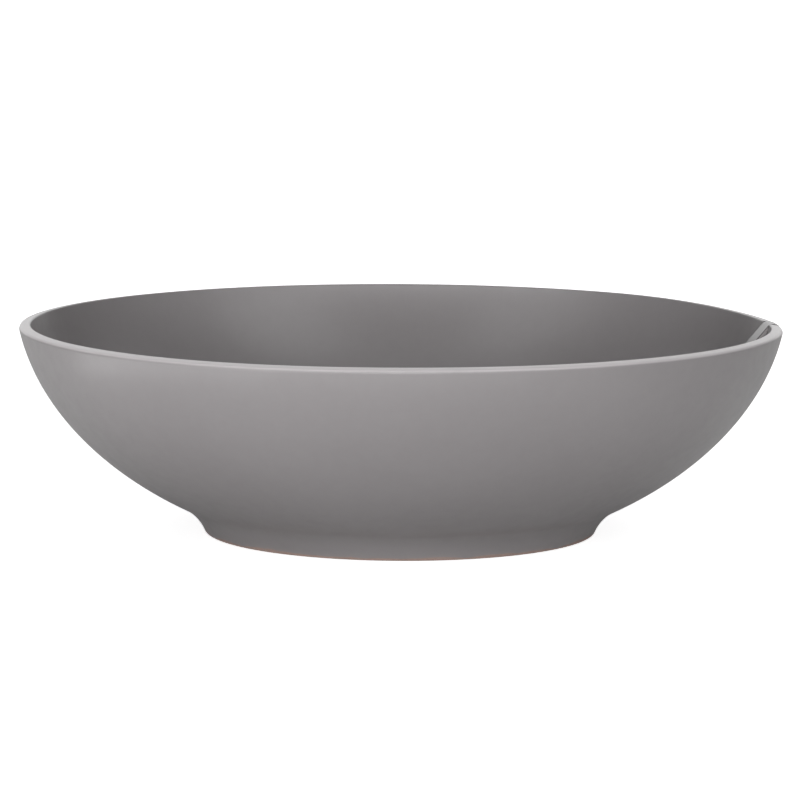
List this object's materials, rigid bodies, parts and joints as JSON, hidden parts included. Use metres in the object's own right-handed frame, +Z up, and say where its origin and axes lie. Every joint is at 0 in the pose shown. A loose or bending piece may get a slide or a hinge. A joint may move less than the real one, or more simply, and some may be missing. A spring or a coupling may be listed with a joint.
{
  "type": "chip and dip server",
  "caption": "Round footed stoneware serving bowl with a lift-out dip cup whose arm ends in a tongue lying flush in a notch in the rim.",
  "frame": {"origin": "centre of the foot ring's resting plane, on the bowl's axis", "axes": "+Z up along the bowl's axis, +X from the axis towards the rim notch and the dip cup"},
  "size_m": [0.3561, 0.3562, 0.098],
  "materials": {
    "bowl_glaze": "satin",
    "cup_glaze": "satin"
  },
  "bodies": {
    "chip_bowl": {"chip_bowl": "bowl_glaze"},
    "dip_cup": {"dip_cup": "cup_glaze"}
  },
  "joints": [
    {"name": "dip_cup_lift", "type": "slide", "parent": "chip_bowl", "child": "dip_cup", "axis": [0, 0, 1], "range_m": [0, 0.1]}
  ]
}
